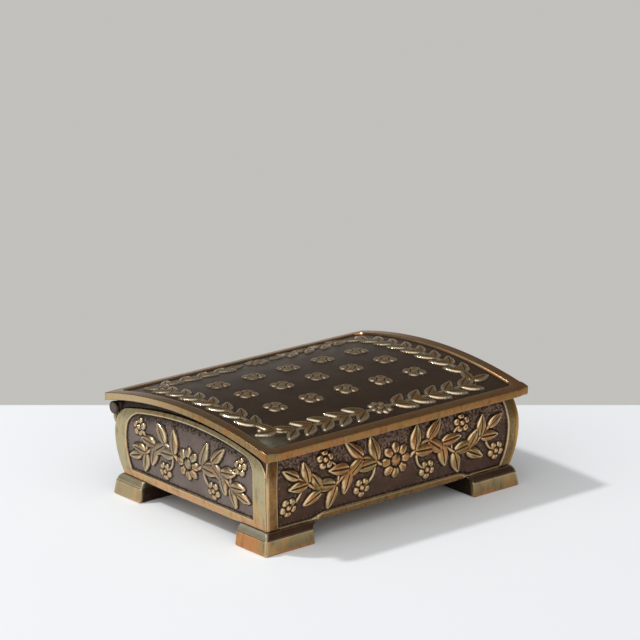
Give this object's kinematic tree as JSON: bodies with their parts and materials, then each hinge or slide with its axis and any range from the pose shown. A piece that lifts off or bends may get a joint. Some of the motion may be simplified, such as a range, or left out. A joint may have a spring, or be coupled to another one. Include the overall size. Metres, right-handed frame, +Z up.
{
  "type": "lidded metal box",
  "caption": "Low rectangular cast bronze keepsake box with bowed panelled walls, corner feet with cove mouldings, and an arched overhanging lid that opens on a pinned hinge along the back.",
  "frame": {"origin": "on the table, under the middle of the box", "axes": "+X to the right along the front, +Y towards the hinge at the back, +Z up"},
  "size_m": [0.165, 0.1276, 0.0588],
  "materials": {
    "wall_bronze": "cast bronze, brown patina with rubbed golden high spots",
    "lid_bronze": "cast bronze, dark brown satin patina with a rubbed rim",
    "foot_bronze": "cast bronze, rubbed golden",
    "floor_bronze": "sheet bronze, dull brown",
    "hinge_bronze": "worn bronze",
    "pin_bronze": "dark turned bronze"
  },
  "bodies": {
    "box": {"front_wall": "wall_bronze", "back_wall": "wall_bronze", "left_end_wall": "wall_bronze", "right_end_wall": "wall_bronze", "floor_plate": "floor_bronze", "foot_front_left": "foot_bronze", "foot_front_right": "foot_bronze", "foot_rear_left": "foot_bronze", "foot_rear_right": "foot_bronze", "hinge_lug_left": "hinge_bronze", "hinge_lug_centre": "hinge_bronze", "hinge_lug_right": "hinge_bronze", "hinge_pin": "pin_bronze", "hinge_pin_cap": "pin_bronze"},
    "cover": {"lid": "lid_bronze", "lid_knuckle_left": "hinge_bronze", "lid_knuckle_right": "hinge_bronze"}
  },
  "joints": [
    {"name": "lid_hinge", "type": "hinge", "parent": "box", "child": "cover", "pos_m": [0, 0.0587, 0.04416], "axis": [-1, 0, 0], "range_deg": [0, 97]}
  ]
}
